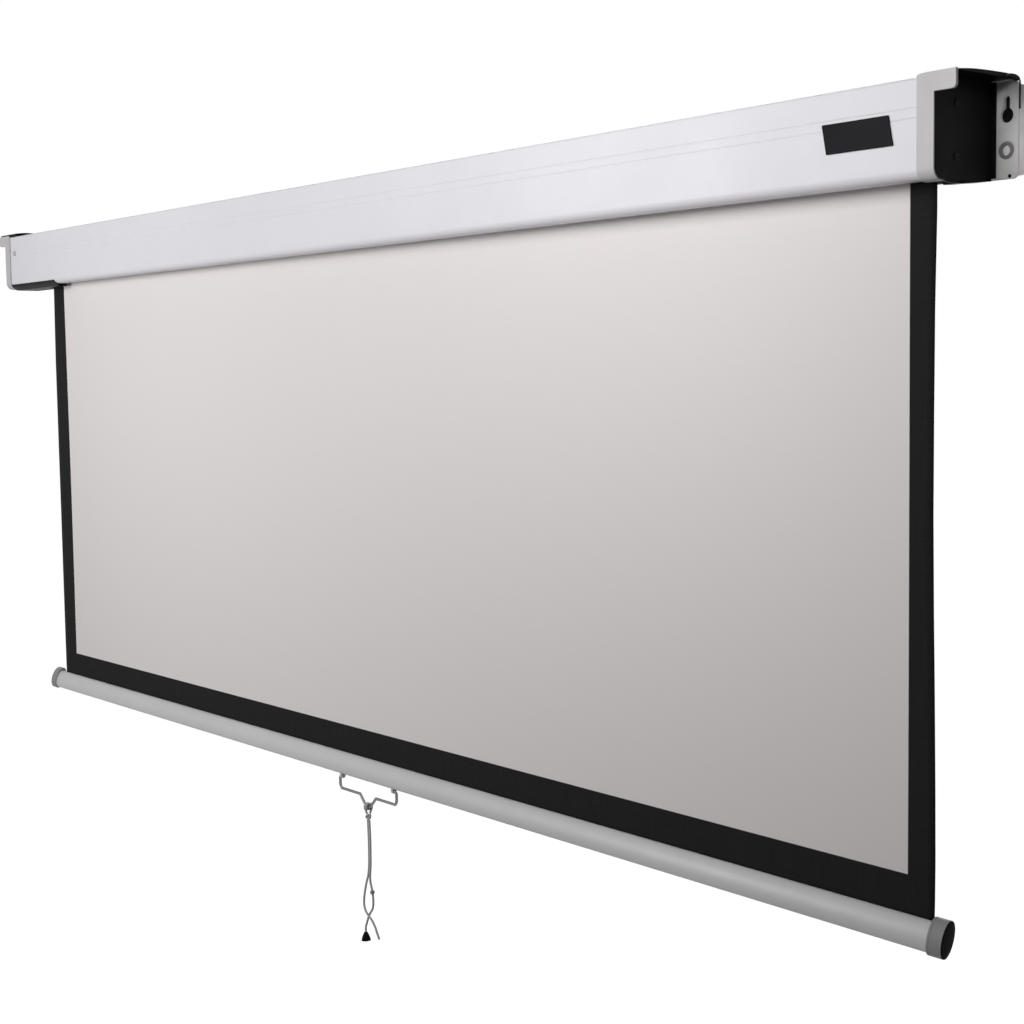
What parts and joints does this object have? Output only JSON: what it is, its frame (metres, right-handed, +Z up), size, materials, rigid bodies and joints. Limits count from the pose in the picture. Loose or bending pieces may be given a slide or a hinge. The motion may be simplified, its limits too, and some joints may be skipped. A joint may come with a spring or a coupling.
{
  "type": "projector screen",
  "caption": "Wall-hung pull-down projection screen: long square case, spring roller, bordered fabric sheet, oval bottom bar with wire bail and pull cord.",
  "frame": {"origin": "on the flat back of the case, halfway along the case and halfway up it, in the plane of the wall", "axes": "+X along the case to the right seen from the front, +Y from the case into the wall, +Z up"},
  "size_m": [2.008, 0.0891, 0.9947],
  "materials": {
    "case_white": "satin white paint",
    "badge_black": "blank black plate",
    "cap_silver": "silver grey paint on plastic",
    "cover_black": "satin black plastic",
    "bracket_grey": "grey coated steel",
    "plate_zinc": "zinc plated steel",
    "screw_black": "black oxide steel",
    "steel": "bright steel",
    "tube_aluminium": "mill finish",
    "nylon": "moulded nylon",
    "fabric_white": "matt white fabric with black borders",
    "bar_grey": "light grey coated aluminium",
    "collar_grey": "dark grey plastic",
    "end_black": "black plastic",
    "wire_grey": "grey steel wire",
    "cord_grey": "braided grey cord"
  },
  "bodies": {
    "case": {"case_shell": "case_white", "badge": "badge_black", "front_screw": "cap_silver", "end_cap_l": "cap_silver", "end_cap_r": "cap_silver", "side_cover_l": "cover_black", "side_cover_r": "cover_black", "slot_closer": "cover_black", "wall_bracket_l": "bracket_grey", "wall_bracket_r": "bracket_grey", "wall_plate_l": "plate_zinc", "wall_plate_r": "plate_zinc", "grommet_l": "end_black", "grommet_r": "end_black", "side_screw_l_upper": "screw_black", "side_screw_l_lower": "screw_black", "side_screw_r_upper": "screw_black", "side_screw_r_lower": "screw_black", "idle_bush": "nylon", "spindle": "steel", "ratchet_disc": "steel", "torsion_spring": "steel", "spring_anchor": "nylon"},
    "roller": {"roller_tube": "tube_aluminium", "fabric_roll": "fabric_white", "spring_plug": "nylon", "pawl_pin_a": "steel", "pawl_pin_b": "steel", "idle_plug": "nylon", "idle_pin": "steel"},
    "pawl_a": {"pawl_a": "steel"},
    "pawl_b": {"pawl_b": "steel"},
    "bottom_bar": {"bar_tube": "bar_grey", "bar_collar_l": "collar_grey", "bar_collar_r": "collar_grey", "bar_end_l": "end_black", "bar_end_r": "end_black", "hem_rod": "nylon", "bail_lug_l": "bar_grey", "bail_lug_r": "bar_grey", "fabric_sheet": "fabric_white"},
    "bail": {"pull_bail": "wire_grey"},
    "pull_cord": {"cord_hitch": "cord_grey", "cord_knot": "cord_grey", "cord_tail_left": "cord_grey", "cord_tail_right": "cord_grey", "cord_cone": "end_black", "cord_bead": "collar_grey"}
  },
  "joints": [
    {"name": "bar_travel", "type": "slide", "parent": "case", "child": "bottom_bar", "axis": [0, 0, -1], "range_m": [-0.6484, 1.1248], "deforming": ["fabric_sheet"]},
    {"name": "roller_turn", "type": "hinge", "parent": "case", "child": "roller", "pos_m": [0, -0.0326, 0.004], "axis": [1, 0, 0], "range_deg": [-1620, 2790]},
    {"name": "pawl_a_swing", "type": "hinge", "parent": "roller", "child": "pawl_a", "pos_m": [-0.8601, -0.0214, 0.0128], "axis": [1, 0, 0], "range_deg": [0, 20]},
    {"name": "pawl_b_swing", "type": "hinge", "parent": "roller", "child": "pawl_b", "pos_m": [-0.8601, -0.0438, -0.0048], "axis": [1, 0, 0], "range_deg": [0, 20]},
    {"name": "bail_swing", "type": "hinge", "parent": "bottom_bar", "child": "bail", "pos_m": [0.066, -0.06514, -0.73366], "axis": [1, 0, 0], "range_deg": [-75, 75]},
    {"name": "cord_swing", "type": "hinge", "parent": "bail", "child": "pull_cord", "pos_m": [0.066, -0.06514, -0.76456], "axis": [1, 0, 0], "range_deg": [-80, 80]}
  ],
  "couplings": [
    {"joint": "roller_turn", "follows": "bar_travel", "rad_per_m": 43.29}
  ]
}
